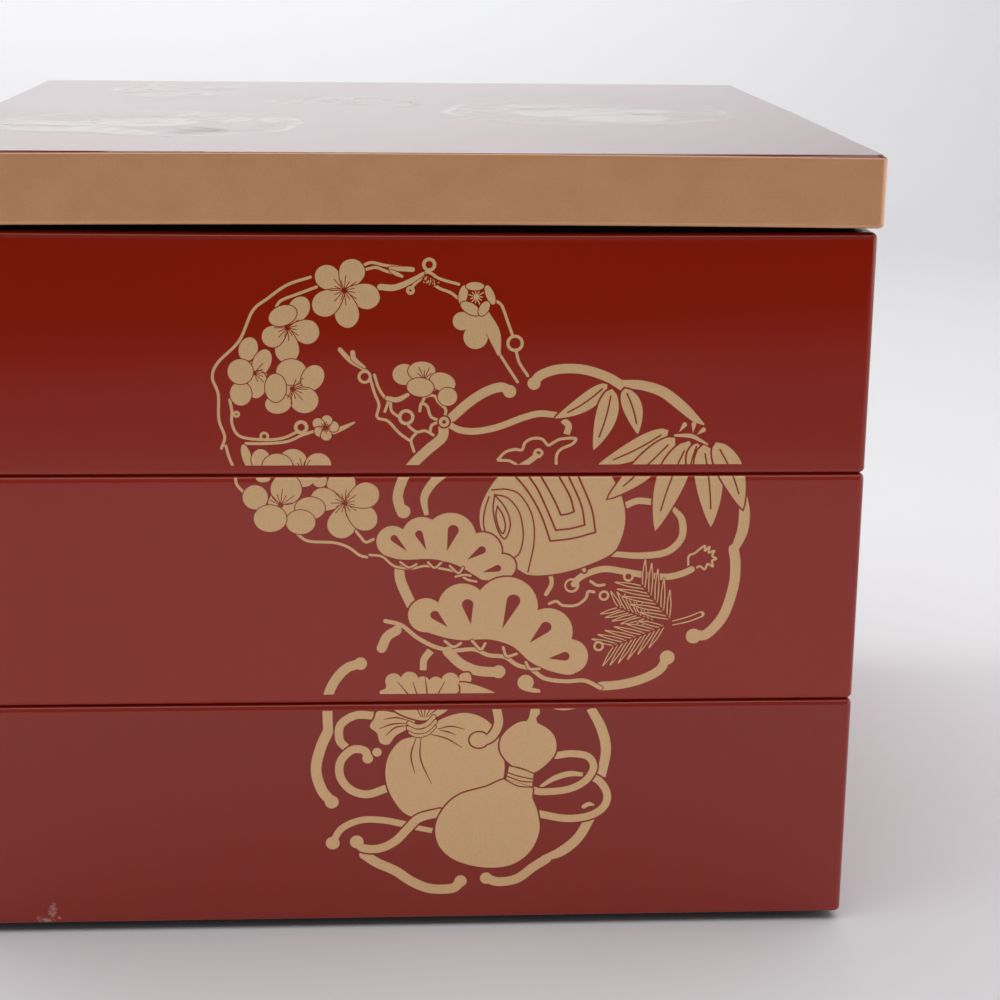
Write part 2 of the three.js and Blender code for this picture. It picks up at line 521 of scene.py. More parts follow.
def stroke(points, width=1.0, blunt=False):
    # a third number at a point is the line's width there
    line = smooth([point if len(point) == 3 else (*point, width) for point in points])
    middle, half = line[:, :2], line[:, 2:] / 2
    along = np.gradient(middle, axis=0)
    along /= np.linalg.norm(along, axis=1)[:, None]
    side = np.column_stack([-along[:, 1], along[:, 0]])
    bend = np.linspace(0, pi, drawSteps["cap"])[1:-1, None]
    caps = [middle[end] + half[end] * way * (np.cos(bend) * side[end] + np.sin(bend) * along[end])
            for end, way in ((-1, 1), (0, -1))]
    if blunt:
        caps = [np.empty((0, 2))] * 2
    return np.vstack([middle + side * half, caps[0], (middle - side * half)[::-1], caps[1]])


def lengthsOf(ways):
    return np.maximum(np.linalg.norm(ways, axis=1), 1e-9)[:, None]


def grown(outline, amount):
    # the outline set outward, and at a sharp corner by no more than spike times the amount
    spike = 1.6
    before = outline - np.roll(outline, 1, 0)
    after = np.roll(before, -1, 0)
    before, after = before / lengthsOf(before), after / lengthsOf(after)
    both = before + after
    area = np.cross(outline, np.roll(outline, -1, 0)).sum()
    outward = np.sign(area) * np.column_stack([both[:, 1], -both[:, 0]])
    length = lengthsOf(outward)
    return outline + outward / length * np.minimum(2 * amount / length, spike * amount)


def layGold(picture, outline, gap=0.0):
    # a gap leaves a bare line round the new shape where it crosses older gold
    if gap:
        picture.append((grown(outline, gap), False))
    picture.append((outline, True))


def layBare(picture, outline):
    picture.append((outline, False))


def knobbedLine(picture, points, width, knob=None, gap=0.0):
    # the knob is its shift from the first point, and its radius
    layGold(picture, stroke(points, width, blunt=knob is None), gap)
    if knob:
        layGold(picture, oval(points[0][0] + knob[0], points[0][1] + knob[1], knob[2]))


inkLook = {
    "fold": 0.34,           # bare lines inside a shape
    "gap": 0.38,            # bare line between two shapes
    "petalGap": 0.2,
    "tieGap": 0.204,        # beside the cords that tie the bag
    "threadWidth": 0.18,    # a flower's threads: bare lines out of its heart
    "threadSpacing": 24,    # degrees
    "threadStart": 0.15,    # the threads' ends and the heart, as shares of the flower's reach
    "shortThread": 0.7,
    "heart": 0.17,
}


def ray(middle, angle, start, end, width):
    return stroke([(middle[0] + reach * cos(angle), middle[1] + reach * sin(angle))
                   for reach in (start, end)], width)


def plumFlower(picture, heart, fill=(), drops=(), ovals=(), front=(), threads=(0, 360), reach=2.7):
    # petals grow out of the heart, or are ovals; those in front lie over the threads
    for patch in fill:
        layGold(picture, oval(*patch))
    for x, z, width in drops:
        layGold(picture, petalShape(heart, (x, z), width), inkLook["petalGap"])
    for petal in ovals:
        layGold(picture, oval(*petal), inkLook["petalGap"])
    first, last = threads
    count = max(3, round((last - first) / inkLook["threadSpacing"]))
    for k in range(count):
        angle = radians(first + (last - first) * (k + 0.5) / count)
        start = inkLook["threadStart"] * reach
        end = reach * (1.0 if k % 2 else inkLook["shortThread"])
        layBare(picture, ray(heart, angle, start, end, inkLook["threadWidth"]))
    layBare(picture, oval(*heart, inkLook["heart"] * reach))
    for petal in front:
        layGold(picture, oval(*petal), inkLook["petalGap"])


def budRing(picture, x, z, outer, inner):
    layGold(picture, oval(x, z, outer))
    layBare(picture, oval(x, z, inner))


# Ring of plum branches: flowers down the left, thin twigs round the rest
plumRing = {
    "twig": 0.6,
    "twigs": [
        [(-17.8, 144), (-22.5, 142.4), (-26.5, 139.6), (-29.6, 137), (-32.4, 130.9), (-36.8, 126.4),
         (-38, 123.3), (-36.9, 119.8), (-36.9, 114.5), (-35.8, 110.9), (-36.5, 108.4)],
        [(-35.6, 108.9), (-35, 106.5), (-33.9, 103.5), (-33.6, 100.8), (-32, 98.8)],
        [(-16.6, 142), (-20, 140.7), (-23.6, 139.3), (-24.7, 138.1)],
        [(-6.8, 146.6), (-5.3, 147), (-2.5, 146.4), (1, 146)],
        [(-6.6, 145.6), (-4.6, 146), (-2.6, 145.3), (-0.5, 144.7)],
        [(4.6, 144.7), (6.2, 145), (8.4, 143.7), (12.2, 142.6)],
        [(2.4, 141.6), (4, 143.3), (5.6, 143.8), (8, 141.9), (10.5, 140.9), (12.2, 139.6)],
        [(19.6, 139.3), (21, 138.2), (22.2, 135), (23.3, 132)],
        [(24, 129), (24.7, 126.4), (26.5, 123.6)],
        [(20.5, 128.4), (22, 126), (24.4, 122.3)],
        [(-5.8, 122.8), (-5, 120), (-4.1, 117.5), (-4.5, 114.9), (-2.3, 114.1), (0, 111.6), (2.1, 110)],
        [(-5, 123.8), (-4.2, 121.2), (-3, 119.2), (-2.2, 118.4), (-2.9, 116.1)],
        [(-1.7, 118.4), (-1.5, 116.2), (0.3, 114.8)],
        [(2, 113), (3.6, 111.8), (5.4, 112), (7.1, 111.1)],
        [(3.5, 111.5), (2.5, 110), (3.1, 107.6)],
        [(6.4, 111.6), (6.8, 113.2), (8.6, 114)],
        [(4.3, 116.2), (4.6, 117.8), (5.8, 117.2), (6.6, 115), (8.4, 114.2)],
        [(4.7, 117.6), (5.4, 119.2), (7.2, 119.4), (8.2, 118), (9.6, 116.6), (9.5, 115.2)],
        [(-34.6, 118.6), (-34.2, 116.2), (-34.2, 113.4), (-32.6, 110.9), (-28, 110.2), (-24, 110.5),
         (-20.8, 111.9)],
        [(-31.5, 109.4), (-27, 109.4), (-23, 109.8), (-20, 111.1), (-17.4, 112)],
        [(-21.6, 90.3), (-19, 88.4), (-13.5, 88), (-10.5, 86.9), (-8.4, 85.3), (-6.8, 84.8)],
        [(-9.6, 91.2), (-8.2, 89.4), (-7, 88.1), (-5.4, 88.7)],
    ],
    "boughs": [
        [(-1.6, 145.8, 0.8), (1, 145.7, 1.0), (2.8, 145.6, 1.0)],
        [(-1.6, 145.3, 0.5), (-0.4, 144.7, 0.8), (0.7, 144.2, 0.6)],
        [(-3.7, 142, 1.3), (-0.8, 141.9, 1.3), (2.2, 143.1, 1.1), (5, 144.8, 0.6)],
        [(-12, 129.1, 0.9), (-10, 126.9, 1.0), (-7.8, 125.4, 0.7), (-6.3, 124.4, 0.5)],
        [(-9.4, 128.5, 1.0), (-9.1, 127.1, 1.0), (-7, 125.4, 0.5)],
        [(-2.4, 118.9, 0.9), (-0.3, 118.6, 1.1), (1.8, 119.6, 0.8)],
        [(-13.4, 111.9, 1.2), (-11.2, 112.8, 0.9), (-9.2, 113.8, 0.4)],
    ],
    "buds": [(6.2, 146.6, 1.45, 0.75), (-7, 123.4, 1.45, 0.85), (23.8, 130.4, 1.8, 1.15),
             (1.5, 114.9, 1.7, 1.0), (-27.7, 110.9, 1.0, 0.45),
             (-20.1, 112.8, 1.5, 0.75), (2.4, 141.3, 0.9, 0.25), (-33.3, 115.6, 0.75, 0.2)],
    "flowers": [
        {"heart": (-11, 141.3), "reach": 3.0, "drops": [
            (-16.4, 145.6, 4.9), (-8.4, 147.5, 5.2), (-3.9, 139.3, 5.2), (-10.2, 133.6, 4.9),
            (-17.1, 136.9, 5.2)]},
        {"heart": (-22.6, 133.6), "fill": [(-22.6, 133.4, 2.6)], "drops": [
            (-18.8, 139.8, 4.2), (-16.2, 132.2, 5.0), (-22.8, 126.3, 4.9), (-27.5, 130.6, 4.4)],
         "front": [(-23.5, 136.1, 2.95, 2.0, 22)]},
        {"heart": (-29.5, 124.2), "threads": (-80, 60), "fill": [(-29.4, 124.2, 2.5)], "ovals": [
            (-30.6, 129.2, 2.5, 1.9, 70), (-27.9, 126.4, 2.9, 1.8, 66), (-28.9, 121.8, 2.9, 1.9, 78),
            (-32.3, 119.9, 2.5, 2.2, 90)],
         "front": [(-32.3, 124.5, 2.6)]},
        {"heart": (-21.8, 120.9), "threads": (-130, 80), "reach": 3.1, "fill": [(-21.6, 121.3, 2.7)],
         "ovals": [(-21.9, 124.4, 3.1, 2.7, 0), (-17.6, 123.2, 2.8, 2.2, 60), (-19.4, 118.5, 2.9, 2.7, 0),
                   (-24.7, 117.8, 2.7, 2.1, 10)],
         "front": [(-25.2, 121.1, 2.95, 2.15, 90)]},
        {"heart": (5.2, 122.9), "threads": (30, 150), "fill": [(6.4, 122.0, 2.6, 1.6)], "ovals": [
            (1.1, 123.9, 2.4, 2.2, 0), (4.7, 124.6, 2.8, 2.0, 0), (9.0, 122.3, 2.7, 1.9, -20),
            (10.0, 119.2, 2.0, 1.9, 0)],
         "front": [(4.4, 121.2, 2.75, 1.95, -5)]},
        {"heart": (-19.9, 103.6), "threads": (20, 160), "ovals": [
            (-31.4, 106.6, 2.7, 0.95, -75), (-28.5, 105.9, 2.3, 1.95, 90), (-21.9, 105.6, 2.9, 2.6, 0),
            (-16.7, 104.7, 2.7, 2.6, 0)],
         "front": [(-25.1, 104.6, 3.1, 2.6, 0)]},
        {"heart": (-11.3, 96.6), "reach": 2.9, "drops": [
            (-12.4, 103.2, 5.9), (-18.3, 97.9, 4.9), (-12.5, 89.0, 5.9), (-5.1, 91.5, 5.4),
            (-4.3, 99.3, 5.4)]},
        {"heart": (-24.6, 96.2), "threads": (0, 165), "reach": 3.4, "fill": [(-24.0, 96.3, 3.2)], "ovals": [
            (-23.4, 99.6, 3.2, 3.2, 0), (-29.8, 97.9, 2.6, 2.6, 0), (-18.5, 95.5, 3.1, 2.4, 0),
            (-20.5, 92.5, 3.05, 2.6, 0)],
         "front": [(-26.8, 93.3, 3.4, 2.9, 0)]},
        {"heart": (-15.1, 112.7), "reach": 1.3, "drops": [
            (-12.4, 113.1, 2.2), (-14.6, 115.3, 2.2), (-17.6, 114.2, 2.2), (-17.2, 111.3, 2.2),
            (-14.9, 110.0, 2.2)]},
    ],
    # petals cut off by the joint between two trays
    "cutPetals": [(-19.8, 101.5, 2.1, 1.4), (-16.4, 101.3, 1.5, 1.3), (-28.1, 101.9, 1.5, 0.8)],
    "sideFlower": [(12.9, 135.0, 1.9), (15.7, 131.7, 2.5), (16.4, 134.6, 2.6)],
    "sidePetal": [(17.4, 136.4, 2.2), (19.4, 132.4, 2.7), (20.5, 128.2, 0.8)],
    "sidePetalGap": 0.12,
    "boughGap": 0.15,
    # a flower's cup, seen into: its middle, bare ground, and the rays that stand in it
    "cup": {"middle": (15.8, 140.0), "ground": 2.6, "rays": 11, "long": 1.7, "short": 1.25, "ray": 0.22},
    "cupPetals": [(13.1, 140.4, 2.0, 0.9, 80), (15.5, 142.2, 1.85, 0.85, 0), (18.6, 140.4, 2.1, 0.85, -68),
                  (14.6, 137.6, 2.2, 1.1, -30), (17.4, 137.6, 1.65, 0.95, 60)],
    # a twig rubbed to a smear of specks: where, how large, and how many specks are left
    "worn": {"place": (6.4, 143.2), "size": (1.9, 0.8), "turn": -16, "specks": 60,
             "speck": (0.05, 0.13), "spread": 0.5, "seed": 5},
}


def plumRingPicture(picture):
    for points in plumRing["twigs"]:
        layGold(picture, stroke(points, plumRing["twig"]))
    for points in plumRing["boughs"]:
        layGold(picture, stroke(points), plumRing["boughGap"])
    for bud in plumRing["buds"]:
        budRing(picture, *bud)
    for petal in plumRing["cutPetals"]:
        layGold(picture, oval(*petal))
    for flower in plumRing["flowers"]:
        plumFlower(picture, **flower)
    # a flower seen from the side, below one seen into its cup
    for lobe in plumRing["sideFlower"]:
        layGold(picture, oval(*lobe))
    layGold(picture, stroke(plumRing["sidePetal"]), plumRing["sidePetalGap"])
    layGold(picture, oval(*plumRing["sideFlower"][-1]))
    cup = plumRing["cup"]
    layBare(picture, oval(*cup["middle"], cup["ground"]))
    for k in range(cup["rays"]):
        angle = 2 * pi * k / cup["rays"]
        layGold(picture, ray(cup["middle"], angle, 0, cup["long"] if k % 2 else cup["short"], cup["ray"]))
    for petal in plumRing["cupPetals"]:
        layGold(picture, oval(*petal), inkLook["petalGap"])
    wornPatch(picture, **plumRing["worn"])


def wornPatch(picture, place, size, turn, specks, speck, spread, seed):
    layBare(picture, oval(*place, *size, turn))
    chance = np.random.default_rng(seed)
    for k in range(specks):
        along, across = chance.normal(0, spread, 2)
        spot = turned([(along * size[0], across * size[1])], *place, turn)[0]
        layGold(picture, oval(*spot, chance.uniform(*speck)))


# Broken ring with bamboo, a rolled scroll, two pines and a needle sprig
def bambooLeaf(picture, base, tip, width, bend=0.0):
    length = hypot(tip[0] - base[0], tip[1] - base[1])
    t = np.linspace(0, 1, drawSteps["leaf"])
    spine = np.column_stack([t * length, bend * np.sin(pi * t)])
    half = width / 2 * np.sin(pi * t ** 0.72) ** 0.8       # widest before the middle
    side = np.column_stack([0 * t, half])
    outline = np.vstack([spine + side, (spine - side)[-2:0:-1]])
    angle = headingOf(base, tip)
    layGold(picture, turned(outline, *base, angle), inkLook["gap"])
    rib = turned(spine[2:16:4], *base, angle)      # it stops short of both ends
    layBare(picture, stroke(rib, inkLook["fold"]))


def pineCloud(picture, lobes, belly, drops):
    # lobes are (x, z, radius); belly is the outline that joins them below
    for lobe in lobes:
        picture.append((grown(oval(*lobe), inkLook["gap"]), False))
    picture.append((grown(smooth(belly, closed=True), inkLook["gap"]), False))
    for lobe in lobes:
        layGold(picture, oval(*lobe))
    layGold(picture, smooth(belly, closed=True))
    for tip, far, width in drops:
        layBare(picture, drop(tip, far, width))


needleLook = {
    "start": 0.6,           # where the first pair stands, in steps from one pair to the next
    "least": 0.75,          # length at the stem's ends, as a share of that at its middle
    "gap": 0.16,
    # shares of a needle's length, and its width there: the gold, and the bare core within
    "outline": [(0.0, 0.8), (0.5, 1.0), (1.0, 0.35)],
    "core": [(0.02, 0.35), (0.5, 0.5), (0.84, 0.15)],
    "stem": 0.4,            # a bare line between the needles
}


def needleSprig(picture, root, end, count, length, spread, width):
    # needles stand in pairs along a stem and lean towards its end
    look = needleLook
    stem = np.array([root, end], float)
    heading = atan2(end[1] - root[1], end[0] - root[0])
    for k in range(count):
        base = stem[0] + (stem[1] - stem[0]) * (k + look["start"]) / count
        reach = length * (look["least"] + (1 - look["least"]) * sin(pi * (k + 0.5) / count))
        for side in (-1, 1):
            angle = heading + side * radians(spread)
            way = reach * np.array([cos(angle), sin(angle)])
            outline, core = [[(*(base + way * share), width * wide) for share, wide in look[part]]
                             for part in ("outline", "core")]
            layGold(picture, stroke(outline), look["gap"])
            layBare(picture, stroke(core))
    layBare(picture, stroke([root, end], look["stem"]))


brokenRing = {
    # each is a line, its width, and the knob at its start, if it has one
    "arcs": [
        ([(27.8, 122.2), (29.3, 123.8), (33, 125), (38, 124.9), (43, 123.3), (46.8, 121)], 2.0,
         (0, -0.2, 1.35)),
        ([(46, 121.8, 1.8), (50, 121.6, 2.0), (54.5, 120.2, 2.2), (58.5, 117.2, 2.2), (61.4, 114.6, 1.6),
          (63.4, 113.2, 0.3)], 2.0, None),
        ([(22.7, 120.6), (20.8, 121.2), (17.6, 120.1), (14.2, 117.8), (11, 114.9)], 2.0, (0.1, -0.3, 1.35)),
        ([(10, 113.6, 1.2), (12.5, 112.2, 1.4), (16, 111.9, 1.4), (20.5, 112.8, 1.4), (25.5, 114.7, 1.4),
          (29, 115.6, 1.4), (32.6, 115.3, 1.3)], 1.4, None),
        ([(33.9, 114.3, 1.3), (35.1, 113, 1.4), (34.7, 111.2, 1.3)], 1.4, None),
        ([(9.2, 113.2), (8.9, 110.6), (6, 108), (3, 105), (0.9, 101.9), (-0.3, 98), (0.3, 94.9)], 2.1,
         None),
        ([(0.9, 94.7), (0.3, 95.5), (-0.3, 98)], 2.0, (0, 0, 1.45)),
        ([(10, 103.3, 1.8), (7, 100.9, 1.8), (5.2, 97.6, 1.6), (5.7, 93.9, 0.9)], 1.6, None),
        ([(72.2, 97.5, 1.8), (72.6, 94, 2.3), (72.3, 90, 2.3), (70.7, 85.8, 1.6)], 2.2, None),
        ([(62.9, 67), (65.6, 67.3), (69, 71.5), (70.9, 78), (71.1, 83), (70.6, 86.2)], 2.2,
         (-0.2, -0.2, 1.65)),
        ([(57, 61.8), (55.6, 59.2), (52, 57.2), (47.5, 56), (43, 55.6)], 2.0, (0.2, 0.2, 1.6)),
        ([(0, 83, 2.0), (0.3, 79.5, 2.2), (2.6, 74, 2.2)], 2.2, None),
    ],
    "knot": (9.3, 113.9, 1.1, 0.4),
    # the cord's curled end: a ring and the bead in it
    "curlRing": [(36.4, 78.3, 1.6), (36.3, 78.3, 1.1)],
    "curlBead": (36.9, 78.6, 0.7),
    "loops": [
        ([(47.6, 95.9), (50, 96.8), (53.4, 96.5)], 1.4),
        ([(57.6, 95, 1.0), (59.4, 92.6, 1.5), (59.4, 88.6, 1.5), (56.4, 85.6, 1.5), (51, 84.8, 1.4),
          (45, 85.2, 1.2)], 1.4),
        ([(36.6, 78.6), (38.8, 80.5), (43, 81.9), (47.5, 81.3), (52, 80.5), (56.5, 80.1), (59.6, 80.7),
          (61.8, 81.7)], 1.4),
        ([(31.8, 81), (32.1, 78.7), (31, 76.4)], 0.9),
        ([(38.6, 82.6), (39, 81.6)], 0.8),
    ],
    "lineWidth": 0.6,
    "lines": [
        [(20.5, 105.8), (22, 107.4), (24, 108), (25.5, 107.9), (26.1, 109.4), (27.6, 110.3), (29.6, 110.2),
         (30.9, 108.9), (32.1, 109.5), (33.6, 110.2), (36.6, 110.3), (35.9, 109.1), (33.6, 108),
         (32.7, 106.6), (32.7, 104.2)],
        [(20.6, 105.7), (23, 105.5), (24.8, 104.4)],
        [(28, 106.9), (28.4, 107.7), (29.1, 107.9), (29.7, 107.2), (29.1, 106.4)],
        [(31.7, 74.3), (33.2, 74.8), (34.6, 73.9), (37.4, 73.9), (39.4, 75.4), (39.9, 76.9), (41.2, 76.8)],
        [(40.4, 79.2), (41.8, 78.3), (43.3, 78.4)],
    ],
    "cloudTail": ([(25.1, 104.2), (27.1, 105.5), (28.5, 106.6)], 1.2),
    "tassel": ([(61.1, 82.4), (61.1, 84.6), (62.4, 85.3), (63.3, 86.1), (64.5, 86.9), (64.5, 85.8),
                (65.5, 86.7), (65.3, 85.4), (66.5, 85.8), (66.1, 84.7), (67, 84), (66.1, 83.6),
                (66.3, 82.3), (65.2, 82.9), (64.6, 81.7), (63.5, 82.4), (62.2, 81.7), (61.1, 82.4)], 0.45),
    "bamboo": [
        ((43, 121.8), (32.2, 114.6), 3.6, 0.7), ((44, 120.8), (40.4, 107.8), 4.5, 0.5),
        ((46.6, 120.9), (49.6, 111.2), 4.0, 0.5),
        ((56, 112), (41.2, 104.4), 4.4, 0.6), ((57.4, 110.4), (43.6, 97.3), 5.0, 0.4),
        ((60.4, 109.7), (53.8, 90.2), 6.2, -0.7), ((62.2, 109.2), (60.6, 102.9), 2.6, -0.2),
        ((63.4, 108.9), (65.6, 91), 5.8, 0.5), ((66, 109.4), (72.2, 94.9), 5.4, 0.7),
    ],
    "bambooTwig": [(57.4, 110.9, 0.5), (60.6, 110.8, 0.9), (62.6, 109.9, 0.7), (64.2, 109, 0.4)],
    "bambooTwigGap": 0.25,
    "buds": [((58.2, 111.6), (59.6, 113.6), 1.0), ((61.1, 111.4), (61.3, 113.8), 1.0),
             ((61.9, 111), (63.7, 112.4), 1.0)],
    "smallPine": {
        "lobes": [(-1.4, 88.2, 3.4), (4.7, 89.3, 4.2), (10.7, 89, 5.4), (17.3, 85.9, 4.2),
                  (21.8, 82.6, 2.7)],
        "belly": [(-3.8, 86.2), (0, 84.3), (7, 84.3), (12, 83), (16, 80.6), (18, 79.6), (22, 80.2),
                  (22, 84), (16, 88), (8, 90), (0, 89)],
        "drops": [((1.7, 86), (-1.6, 89.4), 1.5), ((5.7, 86.2), (3.8, 90.5), 1.6),
                  ((10, 86.1), (11.6, 91.7), 2.3), ((14.2, 84.1), (18, 86.7), 1.7),
                  ((17.4, 81.3), (21.4, 82.4), 1.5)],
    },
    "bigPine": {
        "lobes": [(5.6, 71.9, 3.8), (13.3, 73.7, 5.2), (22.6, 73.6, 6.7), (31.4, 67.9, 5.4),
                  (36.3, 62.4, 3.9)],
        "belly": [(3.4, 69.6), (8, 67.4), (13, 66.3), (19, 66.4), (24, 64.8), (28, 61.2), (33, 58.9),
                  (37.5, 58.7), (38, 64), (30, 71), (18, 76), (6, 73)],
        "drops": [((10.2, 69.2), (6.8, 72.6), 1.9), ((15.1, 69.8), (14.2, 75.4), 2.4),
                  ((21.8, 68.8), (24.6, 76.3), 2.9), ((27.6, 65.5), (31.9, 69.9), 2.4),
                  ((31.7, 62), (36.2, 62.6), 2.0)],
    },
    "twigGap": 0.2,
    "pineTwigs": [
        ([(-6.2, 85.3), (-3.6, 84.9), (-1, 82.8), (2.6, 82.3), (5.4, 82.8), (8.4, 82.3), (12, 81.4),
          (14.2, 79.8), (16.2, 79.3)], 0.5),
        ([(0.2, 83.7), (2, 82.5), (3.6, 83.2)], 0.45),
        ([(6, 83.6), (7.4, 82.4), (8.8, 83.5)], 0.45),
        ([(10.6, 82.8), (12.4, 81.2), (13.4, 82.4)], 0.45),
        ([(11.8, 80.4), (13.6, 80.8), (15, 80.6)], 0.45),
        ([(-3, 70.7), (0.4, 69.7), (3.8, 66.9), (7.6, 64.8), (11.6, 64), (15.8, 64.2), (18.8, 62.9),
          (22.4, 62.4), (25, 60.6), (28, 59.6), (31, 57.5), (35.4, 56.8), (39.6, 56.9), (43, 55.2)], 0.9),
        ([(9.6, 66.1), (11.4, 64.8), (13, 65.6)], 0.6),
        ([(15.4, 66.1), (17.2, 64.2), (18.2, 65.5)], 0.6),
        ([(22, 64.6), (22.8, 62.6), (24.9, 63.1)], 0.6),
        ([(26.9, 61.2), (27.8, 59.7), (29.8, 59.7)], 0.6),
    ],
    "sprigs": [((54.6, 69.9), (46.2, 73.4), 5, 5.2, 38, 0.95), ((58, 69.9), (51.2, 78.4), 5, 7.4, 40, 1.0),
               ((57.2, 69.4), (45.4, 64.6), 6, 6.6, 37, 0.95)],
    "sprigTwig": [(64.2, 71.7, 1.4), (61.4, 70.6, 1.3), (58.3, 69.8, 1.1)],
    "sprigTwigCore": [(63.9, 71.6, 0.8), (61.4, 70.6, 0.75), (57.6, 69.6, 0.6)],
    "sprigBuds": [(48.4, 80.2, 1.15, 0.65), (43.3, 76.0, 1.15, 0.65), (42.4, 64.7, 1.15, 0.65)],
}


def brokenRingPicture(picture):
    gap = inkLook["gap"]
    for points, width, knob in brokenRing["arcs"]:
        knobbedLine(picture, points, width, knob)
    x, z, outer, inner = brokenRing["knot"]
    layGold(picture, oval(x, z, outer), inkLook["fold"])
    layBare(picture, oval(x, z, inner))
    for points in brokenRing["lines"]:
        layGold(picture, stroke(points, brokenRing["lineWidth"]))
    for name in ("cloudTail", "tassel"):
        layGold(picture, stroke(*brokenRing[name]))
    for points, width in brokenRing["loops"]:
        layGold(picture, stroke(points, width), gap)
    ring, hole = brokenRing["curlRing"]
    layGold(picture, oval(*ring))
    layBare(picture, oval(*hole))
    layGold(picture, oval(*brokenRing["curlBead"]))
    layGold(picture, stroke(brokenRing["sprigTwig"]), brokenRing["twigGap"])
    for sprig in brokenRing["sprigs"]:
        needleSprig(picture, *sprig)
    layBare(picture, stroke(brokenRing["sprigTwigCore"]))
    for bud in brokenRing["sprigBuds"]:
        budRing(picture, *bud)
    scrollPicture(picture)
    for name in ("smallPine", "bigPine"):
        pine = brokenRing[name]
        pineCloud(picture, pine["lobes"], pine["belly"], pine["drops"])
    for points, width in brokenRing["pineTwigs"]:
        layGold(picture, stroke(points, width), brokenRing["twigGap"])
    for leaf in brokenRing["bamboo"]:
        bambooLeaf(picture, *leaf)
    layGold(picture, stroke(brokenRing["bambooTwig"]), brokenRing["bambooTwigGap"])
    for tip, far, width in brokenRing["buds"]:
        layGold(picture, drop(tip, far, width))


scroll = {
    "body": [(18.4, 98.9), (20.4, 101.8), (23.5, 103.2), (33, 103.6), (42.5, 103.2), (45.2, 100.6),
             (46.9, 96.5), (47.4, 92.6), (46.6, 88.4), (44.6, 85.2), (38.9, 82.5), (33.5, 81),
             (28.1, 80.6), (25.2, 81.8), (20, 86), (17.4, 90.2), (16.8, 93), (17.1, 95.8)],
    # bare lines at the rolled end, from the outermost turn in
    "coils": [
        [(19.3, 99.3), (22.6, 99.4), (25.3, 98.1), (27.8, 93.7), (28.3, 88.1), (27.1, 81.4)],
        [(19.9, 98.3), (22.7, 97.5), (25.1, 94.4), (26, 89.5), (25.3, 85.7), (24.2, 84.5)],
        [(18.7, 97.8), (17.9, 95.1), (17.6, 92.3), (18.1, 89.4)],
        [(19.9, 98.2), (19.6, 95.4), (20, 92.6), (21, 89.8), (22.2, 88.7), (23.2, 91.2), (22.9, 93.7),
         (21.7, 96.1), (19.9, 98.2)],
        [(20.5, 95.8), (20.2, 93.6), (20.9, 90.9), (21.7, 89.8), (22.2, 91.4), (21.7, 93.7),
         (20.5, 95.8)],
    ],
    # each goes down, turns two corners and comes up again
    "stripes": [
        ([(23.4, 103), (26.6, 99.3), (29.6, 94), (31.7, 88.1)], (36.5, 88.7),
         [(41.2, 90), (40.2, 95.4), (37, 103)]),
        ([(26.4, 103), (28.8, 99.5), (31, 94.8), (32.8, 90.5)], (35.8, 90.8),
         [(38.9, 91.6), (38, 96.2), (34.9, 103)]),
        ([(29, 103), (30.8, 100), (32.6, 96.6), (33.8, 93.8)], (35.2, 94),
         [(36.6, 94.5), (35.6, 98), (32.8, 103)]),
    ],
    "stripe": 0.42,
}


def scrollPicture(picture):
    layGold(picture, smooth(scroll["body"], closed=True), inkLook["gap"])
    for down, middle, up in scroll["stripes"]:
        for part in (down, [down[-1], middle, up[0]], up):
            layBare(picture, stroke(part, scroll["stripe"]))
    for points in scroll["coils"]:
        layBare(picture, stroke(points, inkLook["fold"]))


